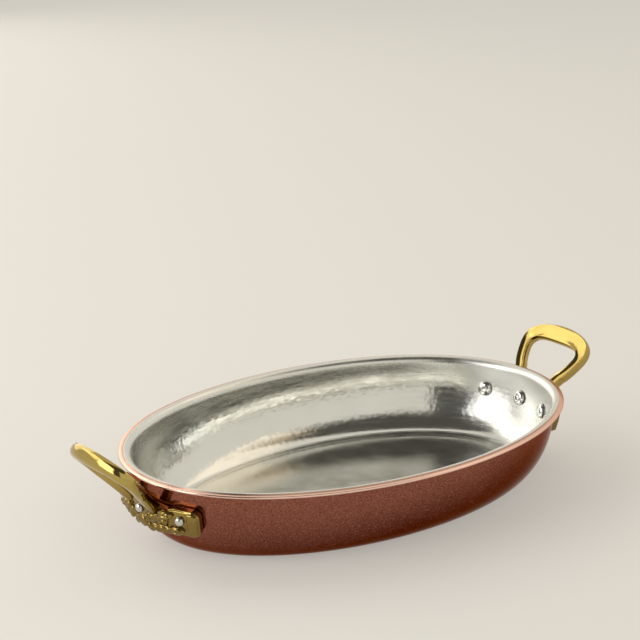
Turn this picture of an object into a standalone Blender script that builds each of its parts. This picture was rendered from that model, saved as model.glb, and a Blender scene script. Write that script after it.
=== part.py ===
"""Oval roasting pan with two cast handles.

A copper pan, pressed from one sheet, has a bellied wall and an everted lip.  A thin tin
lining covers its inside and runs out over the lip.  At each end a cast brass handle, a
strap with a loop and a leafy sprig, is fixed through the wall by three rivets.

Lengths are in metres.  X runs along the pan, Y across it, and Z up from the table.
"""
import math

import bmesh
import bpy
from mathutils import Matrix, Vector

MM = 0.001

# The pan
RIM_LENGTH = 380 * MM
RIM_WIDTH = 252 * MM
PAN_HEIGHT = 61 * MM
WALL_FLARE = 32.5 * MM
LIP_WIDTH = 7 * MM
LIP_BEND = 2.5 * MM
LIP_ROUNDING = 0.7 * MM
COPPER = 2 * MM
LINING = 0.6 * MM
LINING_REACH = 4.4 * MM
SEAT_GAP = 0.3 * MM

# The handle's strap, which follows the wall
STRAP_SPAN = 94 * MM
STRAP_TOP = 45 * MM
STRAP_DEPTH = 19.5 * MM
STRAP_THICKNESS = 7 * MM
STRAP_CHAMFER = 2.4 * MM

# The handle's loop
LOOP_SPAN = 64.8 * MM
LOOP_REACH = 57.5 * MM
LOOP_TILT = math.radians(47)
LOOP_ROOT_DEPTH = 5 * MM
LOOP_ROOT_STANDOFF = 4.4 * MM
LEG_WIDTH = 9 * MM
LEG_THICKNESS = 8.4 * MM
GRIP_WIDTH = 15.6 * MM
GRIP_THICKNESS = 12 * MM

# The sprig cast on the strap
LEAF_LENGTH = 11.5 * MM
LEAF_WIDTH = 6 * MM
LEAF_THICKNESS = 5 * MM
BERRY = 4.2 * MM
STEM = 2.6 * MM
STEM_START = 4.6 * MM
STEM_LENGTH = 13.5 * MM
STEM_HEIGHT = 29.4 * MM
STEM_ARCH = 2 * MM

# The rivets
RIVET_SPREAD = 70 * MM
RIVET_HEIGHT = 37.5 * MM
RIVET_SHANK = 5 * MM
INNER_HEAD = 12 * MM
INNER_HEAD_HEIGHT = 2.6 * MM
OUTER_HEAD = 7.4 * MM
OUTER_HEAD_HEIGHT = 3 * MM

# How finely the round forms are divided
RING_POINTS = 60
WALL_STEPS = 8
LIP_STEPS = 4
RIVET_STEPS = 16
HEAD_STEPS = 4
SPAN_STEPS = 4
STRAP_STEPS = 2
STRAP_ROWS = 3
LEAF_SIDES = 8
LEAF_RINGS = 5
STEM_STEPS = 5
MERGE_DISTANCE = 0.01 * MM

# Heights and widths that follow from these
INNER_LAYERS = COPPER + SEAT_GAP + LINING
NECK_HEIGHT = PAN_HEIGHT - INNER_LAYERS - LIP_BEND
FOOT_HALF_LENGTH = RIM_LENGTH / 2 - WALL_FLARE - LIP_WIDTH
FOOT_HALF_WIDTH = RIM_WIDTH / 2 - WALL_FLARE - LIP_WIDTH


def clear_scene():
    for item in list(bpy.data.objects):
        bpy.data.objects.remove(item)


def collection(name, parent):
    group = bpy.data.collections.new(name)
    parent.children.link(group)
    return group


def metal(name, colour, roughness):
    material = bpy.data.materials.new(name)
    material.use_nodes = True
    shader = material.node_tree.nodes["Principled BSDF"]
    shader.inputs["Base Color"].default_value = (*colour, 1.0)
    shader.inputs["Metallic"].default_value = 1.0
    shader.inputs["Roughness"].default_value = roughness
    material.diffuse_color = (*colour, 1.0)
    return material


def add_object(name, mesh, group, material=None):
    item = bpy.data.objects.new(name, mesh)
    group.objects.link(item)
    if material:
        mesh.materials.clear()
        mesh.materials.append(material)
    return item


def mesh_from(bm, name):
    mesh = bpy.data.meshes.new(name)
    bm.to_mesh(mesh)
    bm.free()
    return mesh


def as_helper(item):
    """A cutter or a part of a union: seen as wire and left out of the model."""
    item.hide_render = True
    item.display_type = "WIRE"
    return item


def finished_mesh(item, name):
    """The item's mesh with its modifiers worked in; the item itself goes."""
    bpy.context.view_layer.update()
    graph = bpy.context.evaluated_depsgraph_get()
    mesh = bpy.data.meshes.new_from_object(item.evaluated_get(graph))
    mesh.name = name
    bpy.data.objects.remove(item)
    return mesh


def smooth(mesh, angle):
    mesh.shade_smooth()
    mesh.set_sharp_from_angle(angle=angle)


# The pan's wall


def wall_profile(rise, depth):
    """Outward and upward place on the wall, and the way up it, at a rise from 0 to a quarter turn.

    The wall is a quarter of an ellipse: it leaves the flat floor level and ends upright at
    the neck.  The place lies depth inside the outer face, or outside it where depth is negative.
    """
    along = Vector((WALL_FLARE * math.cos(rise), NECK_HEIGHT * math.sin(rise))).normalized()
    outward = WALL_FLARE * math.sin(rise) - depth * along.y
    up = NECK_HEIGHT * (1 - math.cos(rise)) + depth * along.x
    return outward, up, along


def rise_at(height):
    return math.acos(1 - height / NECK_HEIGHT)


def oval_facing(turn):
    """Level direction straight out of the foot's oval."""
    return Vector((math.cos(turn) / FOOT_HALF_LENGTH, math.sin(turn) / FOOT_HALF_WIDTH, 0)).normalized()


def oval_point(turn, outward, up):
    """Point on the oval that runs outward, all round, from the foot's oval."""
    facing = oval_facing(turn)
    return Vector((
        FOOT_HALF_LENGTH * math.cos(turn) + outward * facing.x,
        FOOT_HALF_WIDTH * math.sin(turn) + outward * facing.y,
        up,
    ))


def wall_point(turn, rise, depth):
    outward, up, _ = wall_profile(rise, depth)
    return oval_point(turn, outward, up)


def turn_facing(angle):
    """The turn at which the oval faces an angle, so that even angles make even bends."""
    return math.atan2(FOOT_HALF_WIDTH * math.sin(angle), FOOT_HALF_LENGTH * math.cos(angle))


def turn_at(across, outward):
    """The turn from the pan's end at which the oval lies that far across."""
    low, high = 0.0, math.pi / 2
    for _ in range(40):
        middle = (low + high) / 2
        if oval_point(middle, outward, 0).y < across:
            low = middle
        else:
            high = middle
    return low


def skin_stations(depth, lip_reach):
    """Outward and upward places from the floor's edge to a reach along the lip."""
    stations = []
    for step in range(WALL_STEPS + 1):
        outward, up, _ = wall_profile(math.pi / 2 * step / WALL_STEPS, depth)
        stations.append((outward, up))
    radius = LIP_BEND + depth
    for step in range(1, LIP_STEPS + 1):
        angle = math.pi / 2 * step / LIP_STEPS
        outward = WALL_FLARE + LIP_BEND - radius * math.cos(angle)
        stations.append((outward, NECK_HEIGHT + radius * math.sin(angle)))
    stations.append((WALL_FLARE + lip_reach, NECK_HEIGHT + radius))
    return stations


def pan_skin(name, depth, lip_reach):
    """An open skin: the flat floor, then ovals lofted up the wall and out along the lip."""
    bm = bmesh.new()
    rings = []
    turns = [turn_facing(2 * math.pi * point / RING_POINTS) for point in range(RING_POINTS)]
    for outward, up in skin_stations(depth, lip_reach):
        rings.append([bm.verts.new(oval_point(turn, outward, up)) for turn in turns])
    bm.faces.new(reversed(rings[0]))
    for lower, upper in zip(rings, rings[1:]):
        for point in range(RING_POINTS):
            after = (point + 1) % RING_POINTS
            bm.faces.new((lower[point], lower[after], upper[after], upper[point]))
    return mesh_from(bm, name)


def add_wall(item, thickness, side):
    wall = item.modifiers.new("wall", "SOLIDIFY")
    wall.thickness = thickness
    wall.offset = side
    wall.use_even_offset = True


def add_rounding(item, width, segments, angle):
    rounding = item.modifiers.new("rounding", "BEVEL")
    rounding.width = width
    rounding.segments = segments
    rounding.limit_method = "ANGLE"
    rounding.angle_limit = angle


def add_boolean(item, operation, other):
    step = item.modifiers.new(operation.lower(), "BOOLEAN")
    step.operation = operation
    step.solver = "EXACT"
    if isinstance(other, bpy.types.Collection):
        step.operand_type = "COLLECTION"
        step.collection = other
    else:
        step.object = other


def make_pan(group, holes):
    copper = metal("polished_copper", (0.56, 0.18, 0.10), 0.18)
    body = add_object("pan_body", pan_skin("pan_body", 0, LIP_WIDTH), group, copper)
    smooth(body.data, math.radians(40))
    add_wall(body, COPPER, -1)
    add_rounding(body, LIP_ROUNDING, 2, math.radians(60))
    add_boolean(body, "DIFFERENCE", holes)

    tin = metal("wiped_tin", (0.72, 0.71, 0.67), 0.25)
    lining = add_object("tin_lining", pan_skin("tin_lining", COPPER + SEAT_GAP, LINING_REACH), group, tin)
    smooth(lining.data, math.radians(40))
    add_wall(lining, LINING, -1)
    add_boolean(lining, "DIFFERENCE", holes)


# The rivets


def wall_seat(across, height, proud):
    """Frame over the wall at the pan's right end: Y up the wall, Z out of the pan.

    It stands proud of the outer face, at a height on that face and a place across the pan.
    """
    rise = rise_at(height)
    outward, up, along = wall_profile(rise, 0)
    turn = math.copysign(turn_at(abs(across), outward), across)
    facing = oval_facing(turn)
    out = Vector((facing.x * along.y, facing.y * along.y, -along.x))
    level = Vector((-facing.y, facing.x, 0))
    frame = Matrix((level, out.cross(level), out)).transposed().to_4x4()
    frame.translation = oval_point(turn, outward, up) + out * proud
    return frame


def rivet_places():
    """Name and frame of each rivet: three at the right end, and the same three turned half round."""
    for end, turn in (("right", 0.0), ("left", math.pi)):
        for place, share in (("back", 1), ("middle", 0), ("front", -1)):
            across = share * math.cos(turn) * RIVET_SPREAD / 2
            frame = Matrix.Rotation(turn, 4, "Z") @ wall_seat(across, RIVET_HEIGHT, 0)
            yield f"rivet_{end}_{place}", frame


def head_sag(radius):
    """How far the hollow wall, and its facets, rise under a flat head of this radius."""
    end_curve = FOOT_HALF_WIDTH ** 2 / FOOT_HALF_LENGTH + WALL_FLARE
    around = end_curve * 2 * math.pi / RING_POINTS
    upward = NECK_HEIGHT * math.pi / 2 / WALL_STEPS
    return (radius ** 2 + (around ** 2 + upward ** 2) / 4) / (2 * end_curve)


def rivet_mesh():
    """A turned rivet: outer dome, shank, and the broad inner dome."""
    inner_face = -(INNER_LAYERS + SEAT_GAP + head_sag(INNER_HEAD / 2))
    outer_face = SEAT_GAP + STRAP_THICKNESS + SEAT_GAP
    quarter = [math.pi / 2 * step / HEAD_STEPS for step in range(HEAD_STEPS + 1)]
    outline = [
        (OUTER_HEAD / 2 * math.sin(angle), outer_face + OUTER_HEAD_HEIGHT * math.cos(angle))
        for angle in quarter
    ]
    outline.append((RIVET_SHANK / 2, outer_face))
    outline.append((RIVET_SHANK / 2, inner_face))
    outline += [
        (INNER_HEAD / 2 * math.cos(angle), inner_face - INNER_HEAD_HEIGHT * math.sin(angle))
        for angle in quarter
    ]
    bm = bmesh.new()
    points = [bm.verts.new((radius, 0, up)) for radius, up in outline]
    for upper, lower in zip(points, points[1:]):
        bm.edges.new((upper, lower))
    return mesh_from(bm, "rivet_outline")


def turned(item, steps):
    screw = item.modifiers.new("turned", "SCREW")
    screw.axis = "Z"
    screw.steps = steps
    screw.render_steps = steps
    screw.use_merge_vertices = True
    screw.merge_threshold = MERGE_DISTANCE


def make_rivets(group):
    tinned = metal("tinned_steel", (0.66, 0.66, 0.64), 0.2)
    outline = add_object("rivet_outline", rivet_mesh(), group)
    turned(outline, RIVET_STEPS)
    mesh = finished_mesh(outline, "rivet")
    smooth(mesh, math.radians(50))
    for name, frame in rivet_places():
        add_object(name, mesh, group, tinned).matrix_world = frame


def make_rivet_holes(group):
    """Cutters for the holes that the six shanks pass through."""
    radius = RIVET_SHANK / 2 + SEAT_GAP
    length = 4 * (INNER_LAYERS + STRAP_THICKNESS)
    for _, frame in rivet_places():
        bm = bmesh.new()
        bmesh.ops.create_cone(
            bm, cap_ends=True, segments=RIVET_STEPS, radius1=radius, radius2=radius, depth=length)
        cutter = as_helper(add_object("rivet_hole", mesh_from(bm, "rivet_hole"), group))
        cutter.matrix_world = frame


# The handle

# Control polygon of half the loop, as shares of its reach and of half its span
LOOP_POLYGON_SHARES = ((-0.36, 0.27), (0.34, 0.63), (0.48, 0.82), (0.82, 1.02), (1.0, 0.62), (1.0, -0.62))
# How far each polygon corner's section has grown from the leg's to the grip's
LOOP_GROWTH_SHARES = (0.0, 0.0, 0.0, 0.55, 1.0)
# Corners of the leg's section, fluted on top, as shares of half its width and half its thickness
LEG_SECTION_SHARES = (
    (1, 0.35), (0.78, 1), (0.3, 0.55), (-0.3, 0.55), (-0.78, 1), (-1, 0.35),
    (-1, -0.3), (-0.6, -1), (0.6, -1), (1, -0.3))
# The same corners in the grip, which is flat on top and rounded beneath
GRIP_SECTION_SHARES = (
    (1, 0.48), (0.86, 0.74), (0.3, 0.74), (-0.3, 0.74), (-0.86, 0.74), (-1, 0.48),
    (-0.92, -0.25), (-0.42, -1), (0.42, -1), (0.92, -0.25))
# The strap's height, as shares of its full height, at shares of the way from its middle to its end
STRAP_OUTLINE_SHARES = ((0.0, 0.94), (0.3, 0.84), (0.52, 0.82), (0.66, 1.0), (0.92, 1.0), (1.0, 0.74))


def spline_point(before, middle, after, share):
    """Point on a quadratic spline, which runs from mid-edge to mid-edge of its polygon."""
    a = (1 - share) ** 2 / 2
    c = share ** 2 / 2
    return a * before + (1 - a - c) * middle + c * after


def loop_stations():
    """Places along the loop, from its root to the middle of the grip, and how far it has grown there."""
    polygon = [Vector((reach * LOOP_REACH, across * LOOP_SPAN / 2)) for reach, across in LOOP_POLYGON_SHARES]
    stations = []
    for span in range(len(polygon) - 2):
        for step in range(SPAN_STEPS):
            share = step / SPAN_STEPS
            growth = LOOP_GROWTH_SHARES[span] * (1 - share) + LOOP_GROWTH_SHARES[span + 1] * share
            stations.append((spline_point(*polygon[span:span + 3], share), growth))
    stations.append((Vector((LOOP_REACH, 0)), 1.0))
    return stations


def make_loop(group):
    """Half of the loop lofted along its path in a leaning plane, mirrored into the whole."""
    root = wall_point(0, rise_at(STRAP_TOP - LOOP_ROOT_DEPTH), -LOOP_ROOT_STANDOFF)
    outward = Vector((math.cos(LOOP_TILT), 0, math.sin(LOOP_TILT)))
    sideways = Vector((0, 1, 0))
    facing = outward.cross(sideways)
    stations = loop_stations()
    rings = []
    bm = bmesh.new()
    for index, (point, growth) in enumerate(stations):
        before = stations[max(index - 1, 0)][0]
        after = stations[min(index + 1, len(stations) - 1)][0]
        heading = (after - before).normalized()
        if index == len(stations) - 1:
            heading = Vector((0, -1))
        across = facing.cross(outward * heading.x + sideways * heading.y)
        width = LEG_WIDTH + growth * (GRIP_WIDTH - LEG_WIDTH)
        thickness = LEG_THICKNESS + growth * (GRIP_THICKNESS - LEG_THICKNESS)
        place = root + outward * point.x + sideways * point.y
        ring = []
        for leg, grip in zip(LEG_SECTION_SHARES, GRIP_SECTION_SHARES):
            corner = Vector(leg).lerp(Vector(grip), growth)
            ring.append(bm.verts.new(place + across * (corner.x * width / 2) + facing * (corner.y * thickness / 2)))
        rings.append(ring)
    bm.faces.new(rings[0])
    for lower, upper in zip(rings, rings[1:]):
        for corner in range(len(LEG_SECTION_SHARES)):
            after = (corner + 1) % len(LEG_SECTION_SHARES)
            bm.faces.new((lower[corner], upper[corner], upper[after], lower[after]))
    loop = as_helper(add_object("loop", mesh_from(bm, "loop"), group))
    mirror = loop.modifiers.new("other half", "MIRROR")
    mirror.use_axis = (False, True, False)
    mirror.merge_threshold = MERGE_DISTANCE
    return loop


def strap_outline():
    """Shares of the half span, from one end to the other, with the strap's share of height there."""
    half = []
    for (place, height), (next_place, next_height) in zip(STRAP_OUTLINE_SHARES, STRAP_OUTLINE_SHARES[1:]):
        for step in range(STRAP_STEPS):
            share = step / STRAP_STEPS
            half.append((place + share * (next_place - place), height + share * (next_height - height)))
    half.append(STRAP_OUTLINE_SHARES[-1])
    return [(-place, height) for place, height in reversed(half[1:])] + half


def make_strap(group):
    """A patch of the wall's own shape, thickened outward, that carries the loop and sprig."""
    middle = STRAP_TOP - STRAP_DEPTH / 2
    outward, _, _ = wall_profile(rise_at(middle), 0)
    bm = bmesh.new()
    columns = []
    for share, height in strap_outline():
        across = share * STRAP_SPAN / 2
        turn = math.copysign(turn_at(abs(across), outward), across)
        low = middle - STRAP_DEPTH * height / 2
        heights = [low + STRAP_DEPTH * height * step / STRAP_ROWS for step in range(STRAP_ROWS + 1)]
        columns.append([bm.verts.new(wall_point(turn, rise_at(up), -SEAT_GAP)) for up in heights])
    for near, far in zip(columns, columns[1:]):
        for step in range(STRAP_ROWS):
            bm.faces.new((near[step], far[step], far[step + 1], near[step + 1]))
    strap = as_helper(add_object("strap", mesh_from(bm, "strap"), group))
    add_wall(strap, STRAP_THICKNESS, 1)
    add_rounding(strap, STRAP_CHAMFER, 1, math.radians(45))
    return strap


# The sprig

# How much a leaf narrows towards its ends
LEAF_PINCH_SHARE = 0.45
# Where the leaves of one half of the sprig start, as shares of the stem, and how far they turn off it
LEAF_PLACE_SHARES = (0.42, 0.42, 0.96)
LEAF_TURNS = (math.radians(38), math.radians(-34), math.radians(-4))
# Where its berries sit, as shares of the stem and of a leaf's width above it, and how far they stand out
BERRY_PLACE_SHARES = ((0.2, 0.55), (0.92, 0.62))
BERRY_RISE_SHARE = 0.2


def leaf_mesh():
    """A pointed lens: a ball drawn out along X and pinched at its ends, its stem end at the origin."""
    bm = bmesh.new()
    bmesh.ops.create_uvsphere(bm, u_segments=LEAF_SIDES, v_segments=LEAF_RINGS, radius=1)
    for vert in bm.verts:
        along = vert.co.z
        girth = 1 - LEAF_PINCH_SHARE * along ** 2
        vert.co = (
            (1 + along) * LEAF_LENGTH / 2,
            vert.co.x * girth * LEAF_WIDTH / 2,
            vert.co.y * girth * LEAF_THICKNESS / 2,
        )
    bmesh.ops.recalc_face_normals(bm, faces=bm.faces)
    return mesh_from(bm, "leaf")


def berry_mesh():
    bm = bmesh.new()
    bmesh.ops.create_uvsphere(bm, u_segments=LEAF_SIDES, v_segments=LEAF_RINGS, radius=BERRY / 2)
    return mesh_from(bm, "berry")


def stem_place(share, side):
    """Across and upward place on one half's stem, a low arch that starts beside the middle rivet."""
    across = STEM_START + share * STEM_LENGTH
    up = STEM_HEIGHT + STEM_ARCH * (1 - (2 * share - 1) ** 2)
    return side * across, up


def stem_mesh(side, group):
    """The stem as a bevelled curve over the strap's face, made a closed mesh."""
    path = bpy.data.curves.new("stem", "CURVE")
    path.dimensions = "3D"
    path.bevel_depth = STEM / 2
    path.bevel_resolution = 1
    path.use_fill_caps = True
    spline = path.splines.new("POLY")
    spline.points.add(STEM_STEPS)
    for step, point in enumerate(spline.points):
        place = wall_seat(*stem_place(step / STEM_STEPS, side), SEAT_GAP + STRAP_THICKNESS)
        point.co = (*place.translation, 1)
    mesh = finished_mesh(add_object("stem", path, group), "stem")
    bpy.data.curves.remove(path)
    bm = bmesh.new()
    bm.from_mesh(mesh)
    bmesh.ops.remove_doubles(bm, verts=bm.verts, dist=MERGE_DISTANCE)
    bmesh.ops.recalc_face_normals(bm, faces=bm.faces)
    bm.to_mesh(mesh)
    bm.free()
    return mesh


def make_sprig(group):
    """Two mirrored halves, each a stem with leaves and berries, half sunk in the strap's face."""
    face = SEAT_GAP + STRAP_THICKNESS
    leaf = leaf_mesh()
    berry = berry_mesh()
    for side in (1, -1):
        as_helper(add_object("stem", stem_mesh(side, group), group))
        for share, turn in zip(LEAF_PLACE_SHARES, LEAF_TURNS):
            item = as_helper(add_object("leaf", leaf, group))
            heading = turn if side > 0 else math.pi - turn
            item.matrix_world = wall_seat(*stem_place(share, side), face) @ Matrix.Rotation(heading, 4, "Z")
        for share, rise in BERRY_PLACE_SHARES:
            across, up = stem_place(share, side)
            item = as_helper(add_object("berry", berry, group))
            item.matrix_world = wall_seat(across, up + rise * LEAF_WIDTH, face + BERRY * BERRY_RISE_SHARE)


def make_handles(group, cutters, sprig, holes):
    brass = metal("cast_brass", (0.78, 0.57, 0.20), 0.16)
    strap = make_strap(cutters)
    add_boolean(strap, "UNION", make_loop(cutters))
    make_sprig(sprig)
    add_boolean(strap, "UNION", sprig)
    add_boolean(strap, "DIFFERENCE", holes)
    mesh = finished_mesh(strap, "handle")
    smooth(mesh, math.radians(25))
    for name, angle in (("handle_right", 0.0), ("handle_left", math.pi)):
        add_object(name, mesh, group, brass).rotation_euler.z = angle


clear_scene()
pan = collection("oval_roasting_pan", bpy.context.scene.collection)
cutters = collection("cutters", bpy.context.scene.collection)
holes = collection("rivet_holes", cutters)
sprig = collection("sprig_forms", cutters)
make_rivet_holes(holes)
make_pan(pan, holes)
make_rivets(pan)
make_handles(pan, cutters, sprig, holes)
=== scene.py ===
"""Looks of the oval roasting pan: polished copper, wiped tin, cast brass handles and rivets."""
import math

import bpy
from mathutils import Matrix, Vector


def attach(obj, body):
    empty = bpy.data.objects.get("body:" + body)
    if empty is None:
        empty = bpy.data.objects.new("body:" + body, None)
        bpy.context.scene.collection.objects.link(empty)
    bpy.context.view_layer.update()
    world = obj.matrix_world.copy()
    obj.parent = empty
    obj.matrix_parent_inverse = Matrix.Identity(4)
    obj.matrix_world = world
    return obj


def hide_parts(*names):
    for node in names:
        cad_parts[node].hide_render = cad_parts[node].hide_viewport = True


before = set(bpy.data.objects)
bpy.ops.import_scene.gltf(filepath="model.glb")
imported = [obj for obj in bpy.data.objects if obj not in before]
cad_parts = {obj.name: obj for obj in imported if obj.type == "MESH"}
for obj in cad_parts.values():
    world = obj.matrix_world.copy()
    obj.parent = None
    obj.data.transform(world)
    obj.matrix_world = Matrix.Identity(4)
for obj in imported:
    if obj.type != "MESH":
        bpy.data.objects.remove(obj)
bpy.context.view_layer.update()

# Copper pan
# One sheet of copper about 2 mm thick, pressed over a former into an oval with a bellied wall,
# its edge turned out into a flat lip.  The outside is buffed to a mirror, which leaves very fine
# lines that run round the pan.

FOOT_HALF_LENGTH = 0.1505
FOOT_HALF_WIDTH = 0.0865
WALL_FLARE = 0.0325
PAN_NECK = 0.0556
LIP_BEND = 0.0025
LIP_REACH = 0.007
COPPER_SHEET = 0.002
COPPER_EDGE = 0.0009
OVAL_STEPS = 64
WALL_ARCS = 26
LIP_ARCS = 6
EDGE_ARCS = 4
MERGE_DISTANCE = 0.000001
SHEET_SMOOTH = math.radians(30)


def only(*items):
    """Leaves just these objects selected, the first of them active."""
    bpy.ops.object.select_all(action="DESELECT")
    for item in items:
        item.select_set(True)
    bpy.context.view_layer.objects.active = items[0]


def linear(colour):
    """A hex colour as the screen shows it, turned into linear light."""
    parts = [int(colour[at:at + 2], 16) / 255 for at in (1, 3, 5)]
    return [*(p / 12.92 if p <= 0.04045 else ((p + 0.055) / 1.055) ** 2.4 for p in parts), 1.0]


def add_node(material, kind, inputs=None, **settings):
    """One node: its settings, then each input's value or the socket that feeds it."""
    node = material.node_tree.nodes.new(kind)
    for name, value in settings.items():
        setattr(node, name, value)
    for name, value in (inputs or {}).items():
        if isinstance(value, bpy.types.NodeSocket):
            material.node_tree.links.new(value, node.inputs[name])
        else:
            node.inputs[name].default_value = value
    return node


def new_material(name):
    """An empty material, and the output node that its surface goes to."""
    material = bpy.data.materials.new(name)
    material.use_nodes = True
    material.node_tree.nodes.clear()
    return material, material.node_tree.nodes.new("ShaderNodeOutputMaterial")


def belly(rise, depth):
    """Outward and upward place on the wall's section, depth inside its outer face."""
    lean = Vector((WALL_FLARE * math.cos(rise), PAN_NECK * math.sin(rise))).normalized()
    return (
        WALL_FLARE * math.sin(rise) - depth * lean.y,
        PAN_NECK * (1 - math.cos(rise)) + depth * lean.x,
    )


def wall_section(depth, reach):
    """Half of a sheet's section, from the foot up the belly and out along the lip."""
    points = [belly(math.pi / 2 * step / WALL_ARCS, depth) for step in range(WALL_ARCS + 1)]
    radius = LIP_BEND + depth
    for step in range(1, LIP_ARCS + 1):
        angle = math.pi / 2 * step / LIP_ARCS
        points.append((
            WALL_FLARE + LIP_BEND - radius * math.cos(angle),
            PAN_NECK + radius * math.sin(angle),
        ))
    points.append((WALL_FLARE + reach, PAN_NECK + radius))
    return points


def rounded_end(lower, upper, radius):
    """The turned edge of a sheet between the ends of its two faces, its corners rounded."""
    points = []
    for corner, start in ((lower, -math.pi / 2), (upper, 0.0)):
        centre = Vector(corner) + Vector((-radius, radius if corner is lower else -radius))
        for step in range(EDGE_ARCS + 1):
            angle = start + math.pi / 2 * step / EDGE_ARCS
            points.append(centre + radius * Vector((math.cos(angle), math.sin(angle))))
    return points


def swept_shell(name, section):
    """Draws the section round the foot's oval, then closes the floor on both sides."""
    bpy.ops.curve.primitive_bezier_circle_add(radius=1)
    oval = bpy.context.object
    oval.scale = (FOOT_HALF_LENGTH, FOOT_HALF_WIDTH, 1)
    only(oval)
    bpy.ops.object.transform_apply(scale=True)
    oval.data.resolution_u = OVAL_STEPS
    for knot in oval.data.splines[0].bezier_points:
        knot.radius = 1

    outline = bpy.data.curves.new("section", "CURVE")
    spline = outline.splines.new("POLY")
    spline.points.add(len(section) - 1)
    for point, (outward, up) in zip(spline.points, section):
        point.co = (-outward, up, 0, 1)
    profile = bpy.data.objects.new("section", outline)
    bpy.context.collection.objects.link(profile)
    oval.data.bevel_mode = "OBJECT"
    oval.data.bevel_object = profile
    only(oval)
    bpy.ops.object.convert(target="MESH")
    shell = bpy.context.object
    shell.name = name
    shell.data.name = name
    bpy.data.objects.remove(profile)

    bpy.ops.object.mode_set(mode="EDIT")
    bpy.ops.mesh.select_all(action="SELECT")
    bpy.ops.mesh.remove_doubles(threshold=MERGE_DISTANCE)
    bpy.ops.mesh.select_mode(type="EDGE")
    bpy.ops.mesh.select_all(action="DESELECT")
    bpy.ops.mesh.select_non_manifold()
    bpy.ops.mesh.fill_holes(sides=0)
    bpy.ops.mesh.select_all(action="SELECT")
    bpy.ops.mesh.normals_make_consistent(inside=False)
    bpy.ops.object.mode_set(mode="OBJECT")
    bpy.ops.object.shade_smooth_by_angle(angle=SHEET_SMOOTH)
    return shell


outer_face = wall_section(0, LIP_REACH)
inner_face = wall_section(COPPER_SHEET, LIP_REACH)
lip_end = rounded_end(outer_face[-1], inner_face[-1], COPPER_EDGE)
pan_section = outer_face[:-1] + lip_end + inner_face[-2::-1]
pan = swept_shell("copper_pan", pan_section)

# Buffed copper sheet.  Its colour carries painted shade: deep red brown towards the foot, a softer
# rose brown on the belly, and darker towards one end.  Along the lip it is pale pink, partly copper
# worn bright and partly a painted highlight.  Dark specks and bright flecks, drawn 1 mm apart,
# coarser than real so that they show, are a painted reflection of a grainy surface round the pan.
# The mop leaves lines that run round the pan, 6 mm long and under half a millimetre apart.
polished_copper, copper_output = new_material("buffed_copper_sheet")
place = add_node(polished_copper, "ShaderNodeTexCoord")
parts = add_node(polished_copper, "ShaderNodeSeparateXYZ", {"Vector": place.outputs["Object"]})
# Painted shade: the copper is darkest at the foot, lighter up the belly, and darker towards one end.
painted_shade_wobble = add_node(polished_copper, "ShaderNodeTexNoise", {
    "Vector": place.outputs["Object"], "Scale": 22, "Detail": 6})
up_the_wall = add_node(polished_copper, "ShaderNodeMath", {
    0: painted_shade_wobble.outputs[0], 1: 0.02, 2: parts.outputs["Z"]}, operation="MULTIPLY_ADD")
painted_shade_by_end = add_node(polished_copper, "ShaderNodeMath", {
    0: parts.outputs["X"], 1: -0.14, 2: up_the_wall.outputs[0]}, operation="MULTIPLY_ADD")
out_of_painted_shade_share = add_node(polished_copper, "ShaderNodeMapRange", {
    "Value": painted_shade_by_end.outputs[0], "From Min": 0.017, "From Max": 0.063},
    interpolation_type="SMOOTHSTEP")
# Pale pink along the lip: partly copper worn bright, partly a painted highlight.
lip_highlight_share = add_node(polished_copper, "ShaderNodeMapRange", {
    "Value": parts.outputs["Z"], "From Min": 0.0568, "From Max": 0.0586}, interpolation_type="SMOOTHSTEP")
painted_shade_tone = add_node(polished_copper, "ShaderNodeMix", {
    "Factor": out_of_painted_shade_share.outputs[0], "A": linear("#551A0D"), "B": linear("#905848")}, data_type="RGBA")
# Painted reflection: dark specks and bright flecks mirror a dark, grainy surface round the pan.
specks = add_node(polished_copper, "ShaderNodeTexNoise", {
    "Vector": place.outputs["Object"], "Scale": 950, "Detail": 2})
painted_dark_speck_share = add_node(polished_copper, "ShaderNodeMapRange", {
    "Value": specks.outputs[0], "From Min": 0.50, "From Max": 0.34, "To Max": 0.5})
with_painted_dark_specks = add_node(polished_copper, "ShaderNodeMix", {
    "Factor": painted_dark_speck_share.outputs[0], "A": painted_shade_tone.outputs["Result"], "B": linear("#4A2418")},
    data_type="RGBA")
painted_bright_fleck_share = add_node(polished_copper, "ShaderNodeMapRange", {
    "Value": specks.outputs[0], "From Min": 0.56, "From Max": 0.72, "To Max": 0.42})
with_painted_bright_flecks = add_node(polished_copper, "ShaderNodeMix", {
    "Factor": painted_bright_fleck_share.outputs[0], "A": with_painted_dark_specks.outputs["Result"], "B": linear("#C98A74")},
    data_type="RGBA")
tone = add_node(polished_copper, "ShaderNodeMix", {
    "Factor": lip_highlight_share.outputs[0], "A": with_painted_bright_flecks.outputs["Result"], "B": linear("#F4CFBF")},
    data_type="RGBA")
stretched = add_node(polished_copper, "ShaderNodeMapping", {
    "Vector": place.outputs["Object"], "Scale": (1, 1, 14)})
buffing = add_node(polished_copper, "ShaderNodeTexNoise", {
    "Vector": stretched.outputs[0], "Scale": 160, "Detail": 4})
haze = add_node(polished_copper, "ShaderNodeMapRange", {
    "Value": buffing.outputs[0], "To Min": 0.10, "To Max": 0.22})
lines = add_node(polished_copper, "ShaderNodeBump", {
    "Height": buffing.outputs[0], "Strength": 0.08, "Distance": 0.0004})
copper_skin = add_node(polished_copper, "ShaderNodeBsdfPrincipled", {
    "Base Color": tone.outputs["Result"], "Metallic": 1.0, "Roughness": haze.outputs[0],
    "Specular Tint": linear("#DDBCB0"), "Normal": lines.outputs[0]})
polished_copper.node_tree.links.new(copper_skin.outputs[0], copper_output.inputs[0])
pan.data.materials.append(polished_copper)
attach(pan, "root")
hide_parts("pan_body")

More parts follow.
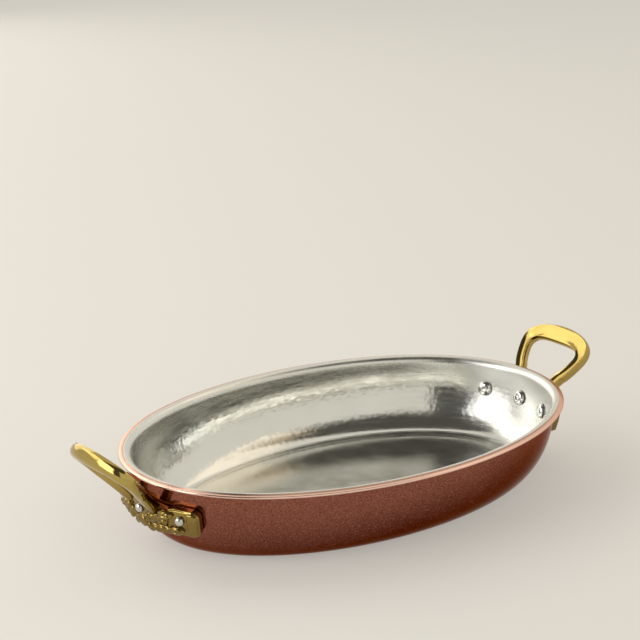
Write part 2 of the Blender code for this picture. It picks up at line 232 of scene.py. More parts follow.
# Tin lining
# Molten tin wiped by hand over the inside and out along the lip, with a pad of tow.  It is bright,
# but its wiped strokes and the planishing marks in the copper beneath break up what it mirrors.

TIN_SEAT = 0.00205
TIN_SKIN = 0.00085
TIN_REACH = 0.0032
CREASE_OUT = 0.0023
CREASE_ROUNDING = 0.0008
CREASE_STEPS = 5
BLEND_RISE = math.radians(13)
BLEND_BULGE = 0.0001
BLEND_STEPS = 9


def lining_face(depth):
    """The section's inner face: flat floor, a crisp crease, and then the belly."""
    floor_up = belly(0, depth)[1]
    blend_up = belly(BLEND_RISE, depth)[1]
    joined = [point for point in wall_section(depth, TIN_REACH) if point[1] > blend_up]
    start = Vector((CREASE_OUT, floor_up))
    end = Vector(joined[0])
    lean = (end - start).normalized()
    points = [(start.x - CREASE_ROUNDING, floor_up)]
    for step in range(1, CREASE_STEPS):
        share = step / CREASE_STEPS
        before = start + Vector((-CREASE_ROUNDING * (1 - share), 0))
        after = start + lean * CREASE_ROUNDING * share
        points.append(tuple(before.lerp(after, share)))
    for step in range(1, BLEND_STEPS):
        share = step / BLEND_STEPS
        bulge = BLEND_BULGE * math.sin(math.pi * share) ** 2
        along = CREASE_ROUNDING / (end - start).length * (1 - share) + share
        place_on_chord = start + (end - start) * along
        points.append((place_on_chord.x + bulge * lean.y, place_on_chord.y - bulge * lean.x))
    return points + joined


tin_under = wall_section(TIN_SEAT, TIN_REACH)
tin_upper = lining_face(TIN_SEAT + TIN_SKIN)
lining = swept_shell("tin_lining_skin", tin_under + tin_upper[::-1])

# Hand wiped tin: nearly a mirror on the floor, rippled by planishing marks about 4 mm apart on the
# wall, satin near the rim and at both ends, where the pad turned, and grey with painted shade under
# the rim along both sides.  The pad's strokes run round the pan, about 18 mm long and 2 mm apart.
wiped_tin, tin_output = new_material("hand_wiped_tin")
place = add_node(wiped_tin, "ShaderNodeTexCoord")
planished = add_node(wiped_tin, "ShaderNodeTexVoronoi", {
    "Vector": place.outputs["Object"], "Scale": 250, "Smoothness": 1.0}, feature="SMOOTH_F1")
strokes_map = add_node(wiped_tin, "ShaderNodeMapping", {
    "Vector": place.outputs["Object"], "Scale": (1, 1, 9)})
strokes = add_node(wiped_tin, "ShaderNodeTexNoise", {
    "Vector": strokes_map.outputs[0], "Scale": 55, "Detail": 3})
parts = add_node(wiped_tin, "ShaderNodeSeparateXYZ", {"Vector": place.outputs["Object"]})
cloud = add_node(wiped_tin, "ShaderNodeTexNoise", {
    "Vector": place.outputs["Object"], "Scale": 16, "Detail": 4})
wiped = add_node(wiped_tin, "ShaderNodeMix", {
    "Factor": cloud.outputs[0], "A": linear("#E5E5E1"), "B": linear("#D1D1CA")}, data_type="RGBA")
# Painted shade: the tin turns grey under the rim along both sides of the wall.
rim_painted_shade_height = add_node(wiped_tin, "ShaderNodeMath", {
    0: cloud.outputs[0], 1: 0.02, 2: parts.outputs["Z"]}, operation="MULTIPLY_ADD")
rim_painted_shade_share = add_node(wiped_tin, "ShaderNodeMapRange", {
    "Value": rim_painted_shade_height.outputs[0], "From Min": 0.048, "From Max": 0.060, "To Max": 0.75},
    interpolation_type="SMOOTHSTEP")
on_wall = add_node(wiped_tin, "ShaderNodeMapRange", {
    "Value": parts.outputs["Z"], "From Min": 0.0555, "From Max": 0.0575, "To Min": 1, "To Max": 0})
rim_painted_shade_on_wall = add_node(wiped_tin, "ShaderNodeMath", {
    0: rim_painted_shade_share.outputs[0], 1: on_wall.outputs[0]}, operation="MULTIPLY")
from_middle = add_node(wiped_tin, "ShaderNodeMath", {0: parts.outputs["X"]}, operation="ABSOLUTE")
along_sides = add_node(wiped_tin, "ShaderNodeMapRange", {
    "Value": from_middle.outputs[0], "From Min": 0.118, "From Max": 0.150, "To Min": 1, "To Max": 0},
    interpolation_type="SMOOTHSTEP")
rim_painted_shade_here = add_node(wiped_tin, "ShaderNodeMath", {
    0: rim_painted_shade_on_wall.outputs[0], 1: along_sides.outputs[0]}, operation="MULTIPLY")
tone = add_node(wiped_tin, "ShaderNodeMix", {
    "Factor": rim_painted_shade_here.outputs[0], "A": wiped.outputs["Result"], "B": linear("#9E9D94")}, data_type="RGBA")
satin = add_node(wiped_tin, "ShaderNodeMapRange", {
    "Value": parts.outputs["Z"], "From Min": 0.036, "From Max": 0.052, "To Max": 0.35})
end_rub = add_node(wiped_tin, "ShaderNodeMapRange", {
    "Value": from_middle.outputs[0], "From Min": 0.150, "From Max": 0.170, "To Max": 0.45},
    interpolation_type="SMOOTHSTEP")
satin_ends = add_node(wiped_tin, "ShaderNodeMath", {0: satin.outputs[0], 1: end_rub.outputs[0]})
satin_strokes = add_node(wiped_tin, "ShaderNodeMath", {0: strokes.outputs[0], 1: satin_ends.outputs[0]})
haze = add_node(wiped_tin, "ShaderNodeMapRange", {
    "Value": satin_strokes.outputs[0], "From Min": 0.3, "From Max": 1.3, "To Min": 0.09, "To Max": 0.42})
wall_dents = add_node(wiped_tin, "ShaderNodeMapRange", {
    "Value": parts.outputs["Z"], "From Min": 0.004, "From Max": 0.012, "To Min": 0.02, "To Max": 0.22})
rim_calm = add_node(wiped_tin, "ShaderNodeMapRange", {
    "Value": parts.outputs["Z"], "From Min": 0.034, "From Max": 0.048, "To Min": 1, "To Max": 0.25})
dent_share = add_node(wiped_tin, "ShaderNodeMath", {
    0: wall_dents.outputs[0], 1: rim_calm.outputs[0]}, operation="MULTIPLY")
dents = add_node(wiped_tin, "ShaderNodeBump", {
    "Height": planished.outputs["Distance"], "Strength": dent_share.outputs[0], "Distance": 0.0006})
wiping = add_node(wiped_tin, "ShaderNodeBump", {
    "Height": strokes.outputs[0], "Strength": 0.05, "Distance": 0.0006, "Normal": dents.outputs[0]})
tin_skin = add_node(wiped_tin, "ShaderNodeBsdfPrincipled", {
    "Base Color": tone.outputs["Result"], "Metallic": 1.0, "Roughness": haze.outputs[0],
    "Normal": wiping.outputs[0]})
wiped_tin.node_tree.links.new(tin_skin.outputs[0], tin_output.inputs[0])
lining.data.materials.append(wiped_tin)
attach(lining, "root")
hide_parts("tin_lining")

# Rivets
# Three tinned steel rivets a handle, driven hot through strap and pan.  Each has a broad head
# set with a hollow punch inside the pan, and a small round one outside on the strap.

RIVET_SPREAD = 0.070
RIVET_HEIGHT = 0.0375
INNER_HEAD_RADIUS = 0.006
INNER_HEAD_HEIGHT = 0.0026
OUTER_HEAD_RADIUS = 0.0037
OUTER_HEAD_HEIGHT = 0.0030
SHANK_RADIUS = 0.0025
STRAP_THICKNESS = 0.007
SEAT_GAP = 0.0003
HEAD_SINK = 0.00068
RIVET_SIDES = 40
RIVET_SMOOTH = math.radians(50)
HALVINGS = 40


def oval_facing(turn):
    """Level direction straight out of the foot's oval."""
    return Vector((math.cos(turn) / FOOT_HALF_LENGTH, math.sin(turn) / FOOT_HALF_WIDTH, 0)).normalized()


def oval_point(turn, outward, up):
    """Point that lies outward of the foot's oval at a height."""
    start = Vector((FOOT_HALF_LENGTH * math.cos(turn), FOOT_HALF_WIDTH * math.sin(turn), up))
    return start + outward * oval_facing(turn)


def turn_at(across, outward):
    """The turn, from the pan's right end, at which the oval lies that far across."""
    low, high = -math.pi / 2, math.pi / 2
    for _ in range(HALVINGS):
        middle = (low + high) / 2
        if oval_point(middle, outward, 0).y < across:
            low = middle
        else:
            high = middle
    return low


def rise_at(height):
    """How far up the belly's quarter turn the outer face reaches a height."""
    return math.acos(1 - height / PAN_NECK)


def wall_seat(across, height, proud):
    """Frame on the pan's right end: Y up the wall, Z out of the pan, proud of the outer face."""
    rise = rise_at(height)
    outward, up = belly(rise, 0)
    lean = Vector((WALL_FLARE * math.cos(rise), PAN_NECK * math.sin(rise))).normalized()
    turn = turn_at(across, outward)
    facing = oval_facing(turn)
    out = Vector((facing.x * lean.y, facing.y * lean.y, -lean.x))
    level = Vector((-facing.y, facing.x, 0))
    seat = Matrix((level, out.cross(level), out)).transposed().to_4x4()
    seat.translation = oval_point(turn, outward, up) + out * proud
    return seat


def extruded_rings(rings, name):
    """A turned form drawn upward ring by ring from a disc, then closed with a last disc."""
    bpy.ops.object.select_all(action="DESELECT")
    radius, up = rings[0]
    bpy.ops.mesh.primitive_circle_add(
        vertices=RIVET_SIDES, radius=radius, fill_type="NGON", location=(0, 0, up))
    form = bpy.context.object
    form.name = name
    bpy.ops.object.mode_set(mode="EDIT")
    bpy.ops.mesh.select_all(action="SELECT")
    for (before, low), (after, high) in zip(rings, rings[1:]):
        bpy.ops.mesh.extrude_region_move(TRANSFORM_OT_translate={"value": (0, 0, high - low)})
        bpy.ops.transform.resize(
            value=(after / before, after / before, 1), center_override=(0, 0, high))
    bpy.ops.mesh.select_all(action="SELECT")
    bpy.ops.mesh.normals_make_consistent(inside=False)
    bpy.ops.object.mode_set(mode="OBJECT")
    bpy.ops.object.transform_apply()
    return form


INNER_TOP = -(TIN_SEAT + TIN_SKIN + SEAT_GAP + HEAD_SINK)
OUTER_BASE = STRAP_THICKNESS + 2 * SEAT_GAP
# Each head's rings, as shares of its radius and of its height
inner_rings = [
    (0.14, 0.93), (0.26, 0.97), (0.42, 1.0), (0.60, 0.93), (0.76, 0.76),
    (0.88, 0.54), (0.96, 0.30), (1.0, 0.10), (1.0, 0.0)]
outer_rings = [
    (1.0, 0.0), (0.99, 0.16), (0.94, 0.40), (0.83, 0.62), (0.66, 0.81), (0.44, 0.94), (0.2, 0.995)]
rivet_rings = [
    (share * INNER_HEAD_RADIUS, INNER_TOP - up * INNER_HEAD_HEIGHT) for share, up in inner_rings]
rivet_rings += [(SHANK_RADIUS, INNER_TOP), (SHANK_RADIUS, OUTER_BASE)]
rivet_rings += [
    (share * OUTER_HEAD_RADIUS, OUTER_BASE + up * OUTER_HEAD_HEIGHT) for share, up in outer_rings]

# Tinned steel, beaten by the punch: a small bright highlight broken by shallow dents 3 mm apart.
tinned_steel, steel_output = new_material("tinned_steel_rivet")
place = add_node(tinned_steel, "ShaderNodeTexCoord")
beaten = add_node(tinned_steel, "ShaderNodeTexNoise", {
    "Vector": place.outputs["Object"], "Scale": 320, "Detail": 2})
dented = add_node(tinned_steel, "ShaderNodeBump", {
    "Height": beaten.outputs[0], "Strength": 0.4, "Distance": 0.0004})
haze = add_node(tinned_steel, "ShaderNodeMapRange", {
    "Value": beaten.outputs[0], "To Min": 0.10, "To Max": 0.25})
steel_skin = add_node(tinned_steel, "ShaderNodeBsdfPrincipled", {
    "Base Color": linear("#CFCFCB"), "Metallic": 1.0, "Roughness": haze.outputs[0],
    "Normal": dented.outputs[0]})
tinned_steel.node_tree.links.new(steel_skin.outputs[0], steel_output.inputs[0])

for end, half_turn in (("right", 0.0), ("left", math.pi)):
    for place_name, share in (("back", 1), ("middle", 0), ("front", -1)):
        rivet = extruded_rings(rivet_rings, f"steel_rivet_{end}_{place_name}")
        across = share * math.cos(half_turn) * RIVET_SPREAD / 2
        rivet.data.transform(Matrix.Rotation(half_turn, 4, "Z") @ wall_seat(across, RIVET_HEIGHT, 0))
        only(rivet)
        bpy.ops.object.shade_smooth_by_angle(angle=RIVET_SMOOTH)
        rivet.data.materials.append(tinned_steel)
        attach(rivet, "root")
        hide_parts(f"rivet_{end}_{place_name}")

# Handles
# Each is one sand casting in brass, fettled and then polished: a strap that fits the wall, a
# loop that grows from ridged legs into a broad flat grip, and a laurel sprig on the strap.

STRAP_SPAN = 0.094
STRAP_TOP = 0.045
STRAP_DEPTH = 0.0195
STRAP_CHAMFER = 0.0022
STRAP_OUTLINE_SHARES = ((0.0, 0.94), (0.3, 0.84), (0.52, 0.82), (0.66, 1.0), (0.92, 1.0), (1.0, 0.74))
LOOP_HALF_SPAN = 0.0324
LOOP_REACH = 0.0575
LOOP_TILT = math.radians(47)
LOOP_ROOT_HEIGHT = 0.040
LOOP_ROOT_STANDOFF = 0.0044
LEG_WIDTH = 0.009
LEG_THICKNESS = 0.0084
GRIP_WIDTH = 0.0156
GRIP_THICKNESS = 0.012
# The corners that the loop's path rounds, and how far each has grown from leg to grip
LOOP_POLYGON_SHARES = ((-0.36, 0.27), (0.34, 0.63), (0.48, 0.82), (0.82, 1.02), (1.0, 0.62), (1.0, -0.62))
LOOP_GROWTH_SHARES = (0.0, 0.0, 0.0, 0.55, 1.0)
# Corners of the leg's and the grip's section, as shares of half the width and half the thickness
LEG_SECTION_SHARES = (
    (1, 0.35), (0.80, 1), (0.52, 0.78), (0.25, 0.55),
    (-0.25, 0.55), (-0.52, 0.78), (-0.80, 1), (-1, 0.35),
    (-1, 0.0), (-0.95, -0.35), (-0.82, -0.66), (-0.58, -0.88), (-0.30, -0.97), (0, -1),
    (0.30, -0.97), (0.58, -0.88), (0.82, -0.66), (0.95, -0.35), (1, 0.0))
GRIP_SECTION_SHARES = (
    (1, 0.34), (0.84, 0.74), (0.6, 0.74), (0.25, 0.74),
    (-0.25, 0.74), (-0.6, 0.74), (-0.84, 0.74), (-1, 0.34),
    (-0.99, 0.08), (-0.93, -0.22), (-0.80, -0.50), (-0.60, -0.76), (-0.33, -0.94), (0, -1.02),
    (0.33, -0.94), (0.60, -0.76), (0.80, -0.50), (0.93, -0.22), (0.99, 0.08))
FLUTE_HALF_WIDTH = 0.7
FLUTE_END = 0.45
LOOP_EDGE = 0.0003
LOOP_EDGE_ANGLE = math.radians(15)
LOOP_STEPS = 14
FOOT_START = 0.845
FOOT_END = 0.975
FOOT_FILL = 0.86
FOOT_PROUD = 0.0014
FOOT_CHAMFER = 0.0010
CHAMFER_ANGLE = math.radians(45)
PATCH_COLUMNS = 8
STRAP_COLUMNS = 54
PATCH_ROWS = 13
CAST_GRAIN = 0.00032
POLISH_SHARE = 0.5
POLISH_ROUNDS = 4
CAST_SMOOTH = math.radians(35)


def placed_mesh(name, points, faces):
    """An object at the origin made of these points and faces."""
    mesh = bpy.data.meshes.new(name)
    mesh.from_pydata(points, [], faces)
    item = bpy.data.objects.new(name, mesh)
    bpy.context.collection.objects.link(item)
    return item


def strap_height(share):
    """The strap's share of its full height at a share of the way from its middle to its end."""
    for (near, low), (far, high) in zip(STRAP_OUTLINE_SHARES, STRAP_OUTLINE_SHARES[1:]):
        if near <= abs(share) <= far:
            eased = (abs(share) - near) / (far - near)
            eased = eased if far == 1.0 else eased * eased * (3 - 2 * eased)
            return low + (high - low) * eased


def wall_patch(name, start, end, fill, proud, thickness, chamfer):
    """The wall's own shape between two shares of the strap, thickened outward and chamfered."""
    columns = PATCH_COLUMNS + round(STRAP_COLUMNS * (end - start) / 2)
    middle = STRAP_TOP - STRAP_DEPTH / 2
    reach = belly(rise_at(middle), 0)[0]
    points = []
    for column in range(columns):
        share = start + (end - start) * column / (columns - 1)
        turn = turn_at(share * STRAP_SPAN / 2, reach)
        for row in range(PATCH_ROWS):
            up = middle + STRAP_DEPTH * strap_height(share) * fill * (row / (PATCH_ROWS - 1) - 0.5)
            points.append(oval_point(turn, *belly(rise_at(up), -proud)))
    faces = []
    for column in range(columns - 1):
        for row in range(PATCH_ROWS - 1):
            at = column * PATCH_ROWS + row
            faces.append((at, at + PATCH_ROWS, at + PATCH_ROWS + 1, at + 1))
    patch = placed_mesh(name, points, faces)
    only(patch)
    wall = patch.modifiers.new("wall", "SOLIDIFY")
    wall.thickness = thickness
    wall.offset = 1
    wall.use_even_offset = True
    bpy.ops.object.modifier_apply(modifier="wall")
    edge = patch.modifiers.new("chamfer", "BEVEL")
    edge.width = chamfer
    edge.segments = 1
    edge.angle_limit = CHAMFER_ANGLE
    bpy.ops.object.modifier_apply(modifier="chamfer")
    return patch


def loop_form():
    """The loop's faceted section lofted along its path in a leaning plane, both halves."""
    root = oval_point(0, *belly(rise_at(LOOP_ROOT_HEIGHT), -LOOP_ROOT_STANDOFF))
    outward = Vector((math.cos(LOOP_TILT), 0, math.sin(LOOP_TILT)))
    sideways = Vector((0, 1, 0))
    facing = outward.cross(sideways)
    polygon = [Vector((reach * LOOP_REACH, side * LOOP_HALF_SPAN)) for reach, side in LOOP_POLYGON_SHARES]
    half = []
    for span in range(len(polygon) - 2):
        for step in range(LOOP_STEPS):
            share = step / LOOP_STEPS
            first, last = (1 - share) ** 2 / 2, share ** 2 / 2
            point = first * polygon[span] + (1 - first - last) * polygon[span + 1] + last * polygon[span + 2]
            eased = share * share * (3 - 2 * share)
            growth = LOOP_GROWTH_SHARES[span] * (1 - eased) + LOOP_GROWTH_SHARES[span + 1] * eased
            half.append((point, growth))
    half.append((Vector((LOOP_REACH, 0)), 1.0))
    whole = half + [(Vector((point.x, -point.y)), growth) for point, growth in reversed(half[:-1])]
    points = []
    for index, (point, growth) in enumerate(whole):
        before = whole[max(index - 1, 0)][0]
        after = whole[min(index + 1, len(whole) - 1)][0]
        heading = (after - before).normalized()
        across = facing.cross(outward * heading.x + sideways * heading.y)
        width = LEG_WIDTH + growth * (GRIP_WIDTH - LEG_WIDTH)
        thickness = LEG_THICKNESS + growth * (GRIP_THICKNESS - LEG_THICKNESS)
        centre = root + outward * point.x + sideways * point.y
        for leg, grip in zip(LEG_SECTION_SHARES, GRIP_SECTION_SHARES):
            w = leg[0] + growth * (grip[0] - leg[0])
            t = leg[1] + growth * (grip[1] - leg[1])
            if abs(leg[0]) < FLUTE_HALF_WIDTH and leg[1] > 0:
                fluted = min(growth / FLUTE_END, 1.0)
                t = leg[1] + fluted * fluted * (3 - 2 * fluted) * (grip[1] - leg[1])
            points.append(centre + across * (w * width / 2) + facing * (t * thickness / 2))
    corners = len(LEG_SECTION_SHARES)
    faces = [tuple(range(corners)), tuple(range(len(points) - 1, len(points) - corners - 1, -1))]
    for ring in range(len(whole) - 1):
        for corner in range(corners):
            at = ring * corners + corner
            after = ring * corners + (corner + 1) % corners
            faces.append((at, at + corners, after + corners, after))
    loop = placed_mesh("loop", points, faces)
    only(loop)
    bpy.ops.object.mode_set(mode="EDIT")
    bpy.ops.mesh.select_all(action="SELECT")
    bpy.ops.mesh.normals_make_consistent(inside=False)
    bpy.ops.object.mode_set(mode="OBJECT")
    edges = loop.modifiers.new("edges", "BEVEL")
    edges.width = LOOP_EDGE
    edges.segments = 2
    edges.angle_limit = LOOP_EDGE_ANGLE
    bpy.ops.object.modifier_apply(modifier="edges")
    return loop


# The sprig's sizes
LEAF_LENGTH = 0.0135
LEAF_WIDTH = 0.0072
LEAF_THICKNESS = 0.0058
LEAF_ARCH = 0.0004
LEAF_SIDES = 40
LEAF_RINGS = 32
# How much a leaf narrows to its tips, and how its midrib and side veins lie and press in
LEAF_PINCH = 0.45
RIB_WIDTH = 0.14
RIB_PRESS = 0.42
VEIN_TURNS = 10
VEIN_SLANT = 0.8
VEIN_PRESS = 0.24
BERRY = 0.0042
BERRY_SIDES = 24
BERRY_RINGS = 16
STEM = 0.0026
STEM_BEADS = 40
STEM_START_GIRTH = 1.1
STEM_TAPER = 0.3
STEM_START = 0.0046
STEM_LENGTH = 0.0205
STEM_HEIGHT = 0.0294
STEM_ARCH = 0.002
# Each leaf's place along the stem, its turn off the stem in degrees, and its size
LEAVES = (
    (0.05, 58, 0.66), (0.05, -64, 0.72), (0.28, 44, 0.86), (0.28, -40, 0.86), (0.53, 40, 0.86),
    (0.53, -32, 0.86), (0.78, 50, 0.66), (0.78, -24, 0.80), (0.99, 2, 1.05))
# The long leaf from each leg's root along the strap's upper edge
ROOT_LEAF_ACROSS = 0.0175
ROOT_LEAF_HEIGHT = 0.0398
ROOT_LEAF_TURN = 2
ROOT_LEAF_SIZE = 1.15
# The fan of leaves below the middle rivet
FAN_TURNS = (-90, -58, -122)
FAN_HEIGHT = 0.0330
FAN_SIZE = 0.85
BERRY_PLACE_SHARES = ((0.17, 0.55), (0.42, 0.62), (0.90, 0.66))
STRAP_FACE = SEAT_GAP + STRAP_THICKNESS


def leaf_form():
    """A ball drawn out into a pointed, arched leaf, with a midrib and side veins pressed in."""
    bpy.ops.object.select_all(action="DESELECT")
    bpy.ops.mesh.primitive_uv_sphere_add(segments=LEAF_SIDES, ring_count=LEAF_RINGS, radius=1)
    leaf = bpy.context.object
    for vert in leaf.data.vertices:
        along, wide, thick = vert.co.z, vert.co.x, vert.co.y
        girth = 1 - LEAF_PINCH * along ** 2
        rib = math.exp(-(wide / RIB_WIDTH) ** 2)
        vein = 0.5 + 0.5 * math.cos(VEIN_TURNS * (along - VEIN_SLANT * abs(wide)))
        press = 1 - RIB_PRESS * rib - VEIN_PRESS * vein * (1 - rib) * (1 - wide * wide)
        vert.co = (
            (1 + along) * LEAF_LENGTH / 2,
            wide * girth * LEAF_WIDTH / 2,
            thick * girth * LEAF_THICKNESS / 2 * press + LEAF_ARCH * (1 - along ** 2),
        )
    return leaf


def stem_place(share, side):
    """Across and upward place on one half's stem, a low arch beside the middle rivet."""
    return side * (STEM_START + share * STEM_LENGTH), STEM_HEIGHT + STEM_ARCH * (1 - (2 * share - 1) ** 2)


def sprig_forms():
    """Stems, leaves and berries on both sides of the middle rivet, half sunk in the strap."""
    forms = []
    for side in (1, -1):
        for knot in range(STEM_BEADS):
            share = knot / (STEM_BEADS - 1)
            girth = STEM_START_GIRTH - STEM_TAPER * share
            bpy.ops.object.select_all(action="DESELECT")
            bpy.ops.mesh.primitive_ico_sphere_add(subdivisions=2, radius=STEM / 2 * girth)
            bead = bpy.context.object
            bead.data.transform(wall_seat(*stem_place(share, side), STRAP_FACE))
            forms.append(bead)
        for share, turn, size in LEAVES:
            leaf = leaf_form()
            heading = math.radians(turn if side > 0 else 180 - turn)
            leaf.data.transform(
                wall_seat(*stem_place(share, side), STRAP_FACE)
                @ Matrix.Rotation(heading, 4, "Z") @ Matrix.Scale(size, 4))
            forms.append(leaf)
        leaf = leaf_form()
        heading = math.radians(ROOT_LEAF_TURN if side > 0 else 180 - ROOT_LEAF_TURN)
        leaf.data.transform(
            wall_seat(side * ROOT_LEAF_ACROSS, ROOT_LEAF_HEIGHT, STRAP_FACE)
            @ Matrix.Rotation(heading, 4, "Z") @ Matrix.Scale(ROOT_LEAF_SIZE, 4))
        forms.append(leaf)
        for share, rise in BERRY_PLACE_SHARES:
            bpy.ops.object.select_all(action="DESELECT")
            bpy.ops.mesh.primitive_uv_sphere_add(
                segments=BERRY_SIDES, ring_count=BERRY_RINGS, radius=BERRY / 2)
            berry = bpy.context.object
            across, up = stem_place(share, side)
            berry.data.transform(wall_seat(across, up + rise * LEAF_WIDTH, STRAP_FACE + BERRY / 5))
            forms.append(berry)
    for turn in FAN_TURNS:
        leaf = leaf_form()
        leaf.data.transform(
            wall_seat(0, FAN_HEIGHT, STRAP_FACE)
            @ Matrix.Rotation(math.radians(turn), 4, "Z") @ Matrix.Scale(FAN_SIZE, 4))
        forms.append(leaf)
    return forms


cast = wall_patch("strap", -1, 1, 1, SEAT_GAP, STRAP_THICKNESS, STRAP_CHAMFER)
feet = [
    wall_patch(
        "foot", *sorted((side * FOOT_START, side * FOOT_END)), FOOT_FILL,
        STRAP_THICKNESS, FOOT_PROUD + SEAT_GAP, FOOT_CHAMFER)
    for side in (1, -1)
]
only(cast, *feet, *sprig_forms())
bpy.ops.object.join()
skin = cast.modifiers.new("cast", "REMESH")
skin.mode = "VOXEL"
skin.voxel_size = CAST_GRAIN
bpy.ops.object.modifier_apply(modifier="cast")
polish = cast.modifiers.new("polish", "SMOOTH")
polish.factor = POLISH_SHARE
polish.iterations = POLISH_ROUNDS
bpy.ops.object.modifier_apply(modifier="polish")
loop = loop_form()
only(cast)
grown = cast.modifiers.new("loop", "BOOLEAN")
grown.operation = "UNION"
grown.solver = "MANIFOLD"
grown.object = loop
bpy.ops.object.modifier_apply(modifier="loop")
bpy.data.objects.remove(loop)

# Polished cast brass: lemon gold and glossy on the loop, duller and browner low on the strap, which
# is painted shade, and brown in the hollows of the sprig, oxide deepened by painted shade.  Fettling
# leaves it very slightly wavy, about 11 mm from crest to crest.
cast_brass, brass_output = new_material("polished_cast_brass")
place = add_node(cast_brass, "ShaderNodeTexCoord")
sand = add_node(cast_brass, "ShaderNodeTexNoise", {
    "Vector": place.outputs["Object"], "Scale": 90, "Detail": 3})
cloud = add_node(cast_brass, "ShaderNodeTexNoise", {
    "Vector": place.outputs["Object"], "Scale": 30, "Detail": 4})
rubbed = add_node(cast_brass, "ShaderNodeMix", {
    "Factor": cloud.outputs[0], "A": linear("#C6B069"), "B": linear("#9C8444")}, data_type="RGBA")
shape = add_node(cast_brass, "ShaderNodeNewGeometry")
# Brown oxide in the sprig's hollows, deepened as painted shade.
hollow_oxide_and_shade = add_node(cast_brass, "ShaderNodeMapRange", {
    "Value": shape.outputs["Pointiness"],
    "From Min": 0.455, "From Max": 0.497, "To Min": 0.92, "To Max": 0})
parts = add_node(cast_brass, "ShaderNodeSeparateXYZ", {"Vector": place.outputs["Object"]})
# Painted shade: the brass is darker and browner low on the strap.
low_strap_painted_shade = add_node(cast_brass, "ShaderNodeMapRange", {
    "Value": parts.outputs["Z"], "From Min": 0.034, "From Max": 0.054, "To Min": 0.6, "To Max": 0},
    interpolation_type="SMOOTHSTEP")
with_low_painted_shade = add_node(cast_brass, "ShaderNodeMix", {
    "Factor": low_strap_painted_shade.outputs[0], "A": rubbed.outputs["Result"], "B": linear("#6B5228")}, data_type="RGBA")
tone = add_node(cast_brass, "ShaderNodeMix", {
    "Factor": hollow_oxide_and_shade.outputs[0], "A": with_low_painted_shade.outputs["Result"], "B": linear("#35220C")}, data_type="RGBA")
haze = add_node(cast_brass, "ShaderNodeMapRange", {
    "Value": sand.outputs[0], "To Min": 0.07, "To Max": 0.16})
uneven = add_node(cast_brass, "ShaderNodeBump", {
    "Height": sand.outputs[0], "Strength": 0.10, "Distance": 0.0008})
brass_skin = add_node(cast_brass, "ShaderNodeBsdfPrincipled", {
    "Base Color": tone.outputs["Result"], "Metallic": 1.0, "Roughness": haze.outputs[0],
    "Normal": uneven.outputs[0]})
cast_brass.node_tree.links.new(brass_skin.outputs[0], brass_output.inputs[0])
cast.data.materials.clear()
cast.data.materials.append(cast_brass)
only(cast)
bpy.ops.object.shade_smooth_by_angle(angle=CAST_SMOOTH)

for end, half_turn in (("right", 0.0), ("left", math.pi)):
    handle = bpy.data.objects.new(f"brass_handle_{end}", cast.data.copy())
    bpy.context.collection.objects.link(handle)
    handle.data.transform(Matrix.Rotation(half_turn, 4, "Z"))
    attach(handle, "root")
    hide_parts(f"handle_{end}")
bpy.data.objects.remove(cast)

# Studio
# A plain pale floor in a room that is pale all round, dark above and shaded behind the camera.  A
# broad window box stands on the left, a low box behind the pan fills its right end, and two more
# light the grips and the pan's near end.

bpy.ops.object.select_all(action="DESELECT")
bpy.ops.mesh.primitive_plane_add(size=12, location=(1.2, 1.6, 0))
floor = bpy.context.object
floor.name = "floor"
# Matt pale card, which metal sees a little brighter than it is lit, so that it stays plain in it.
pale, pale_output = new_material("pale_card")
card = add_node(pale, "ShaderNodeBsdfDiffuse", {"Color": linear("#F2EFE9")})
lit = add_node(pale, "ShaderNodeEmission", {"Color": linear("#E6E2DA")})
ray = add_node(pale, "ShaderNodeLightPath")
seen = add_node(pale, "ShaderNodeMath", {
    0: ray.outputs["Is Camera Ray"], 1: ray.outputs["Is Glossy Ray"]}, operation="MAXIMUM")
seen_too = add_node(pale, "ShaderNodeMath", {
    0: seen.outputs[0], 1: ray.outputs["Is Transmission Ray"]}, operation="MAXIMUM")
half = add_node(pale, "ShaderNodeMath", {0: seen_too.outputs[0], 1: 0.45}, operation="MULTIPLY")
card_seen = add_node(pale, "ShaderNodeMixShader", {
    0: half.outputs[0], 1: card.outputs[0], 2: lit.outputs[0]})
pale.node_tree.links.new(card_seen.outputs[0], pale_output.inputs[0])
floor.data.materials.append(pale)


def toward(bearing, rise):
    """The direction at a bearing, clockwise from Y, and a rise above the floor, in degrees."""
    bearing, rise = math.radians(bearing), math.radians(rise)
    return Vector((
        math.sin(bearing) * math.cos(rise), math.cos(bearing) * math.cos(rise), math.sin(rise)))


def soft_box(name, direction, distance, width, height, glow, colour):
    """A soft box turned to shine at the pan, whose cloth glows so bright, where 1 is white."""
    lamp = bpy.data.lights.new(name, "AREA")
    lamp.shape = "RECTANGLE"
    lamp.size = width
    lamp.size_y = height
    lamp.energy = glow * math.pi * width * height
    lamp.color = linear(colour)[:3]
    item = bpy.data.objects.new(name, lamp)
    bpy.context.collection.objects.link(item)
    item.location = direction * distance
    item.rotation_euler = (-direction).to_track_quat("-Z", "Y").to_euler()
    item.visible_camera = False


# Each with its direction, its distance, its width and height in metres, its glow and its colour
soft_box("window_box", toward(-79, 24), 1.8, 1.25, 1.45, 2.4, "#FFFFFF")
soft_box("back_box", toward(-33, 37), 1.8, 1.2, 0.75, 1.7, "#FFFAF0")
soft_box("sweep_box", toward(1, 22), 2.2, 1.8, 1.4, 1.1, "#FFFAF2")
soft_box("cream_box", toward(98, 50), 1.8, 1.9, 0.5, 0.45, "#FFE4BC")

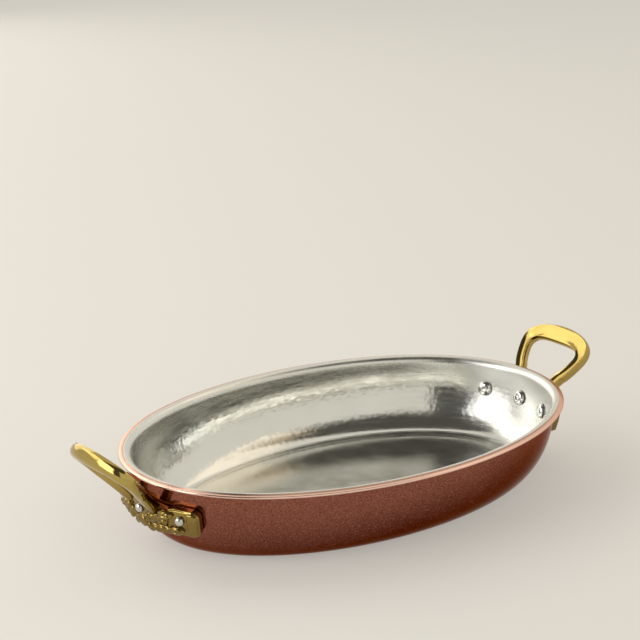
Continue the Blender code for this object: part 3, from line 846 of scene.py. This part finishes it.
# The room itself: warm pale walls, shaded behind the camera, under a dark ceiling that stops short
# of the wall ahead.
room = bpy.data.worlds.new("room")
bpy.context.scene.world = room
room.use_nodes = True
room.node_tree.nodes.clear()
look = add_node(room, "ShaderNodeTexCoord")
parts = add_node(room, "ShaderNodeSeparateXYZ", {"Vector": look.outputs["Generated"]})
overhead = add_node(room, "ShaderNodeMapRange", {
    "Value": parts.outputs["Z"], "From Min": 0.62, "From Max": 0.79}, interpolation_type="SMOOTHSTEP")
ahead = add_node(room, "ShaderNodeVectorMath", {
    0: look.outputs["Generated"], 1: toward(40, 0)}, operation="DOT_PRODUCT")
sweep = add_node(room, "ShaderNodeMapRange", {
    "Value": ahead.outputs["Value"], "From Min": 0.10, "From Max": 0.26, "To Min": 1, "To Max": 0},
    interpolation_type="SMOOTHSTEP")
dark_ceiling = add_node(room, "ShaderNodeMath", {
    0: overhead.outputs[0], 1: sweep.outputs[0]}, operation="MULTIPLY")
level = add_node(room, "ShaderNodeVectorMath", {
    0: look.outputs["Generated"], 1: (1, 1, 0)}, operation="MULTIPLY")
bearing = add_node(room, "ShaderNodeVectorMath", {0: level.outputs["Vector"]}, operation="NORMALIZE")
behind = add_node(room, "ShaderNodeVectorMath", {
    0: bearing.outputs["Vector"], 1: toward(-117, 0)}, operation="DOT_PRODUCT")
shaded = add_node(room, "ShaderNodeMapRange", {
    "Value": behind.outputs["Value"], "From Min": 0.90, "From Max": 0.95}, interpolation_type="SMOOTHSTEP")
sides = add_node(room, "ShaderNodeMix", {
    "Factor": shaded.outputs[0], "A": linear("#ECE7DC"), "B": linear("#5C5B57")}, data_type="RGBA")
ceiling = add_node(room, "ShaderNodeMix", {
    "Factor": dark_ceiling.outputs[0], "A": sides.outputs["Result"], "B": linear("#54524B")},
    data_type="RGBA")
glow = add_node(room, "ShaderNodeBackground", {"Color": ceiling.outputs["Result"]})
add_node(room, "ShaderNodeOutputWorld", {"Surface": glow.outputs[0]})

# The camera stands off the pan's left front and looks down on it through a long lens.
CAMERA_PLACE = (-0.8644, -1.0957, 0.5830)
CAMERA_DOWN = 17.644
CAMERA_BEARING = 37.371
camera = bpy.data.cameras.new("camera")
camera.lens = 109.7
camera.sensor_width = 36
camera_item = bpy.data.objects.new("camera", camera)
bpy.context.collection.objects.link(camera_item)
camera_item.location = CAMERA_PLACE
camera_item.rotation_euler = (math.radians(90 - CAMERA_DOWN), 0, math.radians(-CAMERA_BEARING))
bpy.context.scene.camera = camera_item
bpy.context.scene.view_settings.view_transform = "Standard"
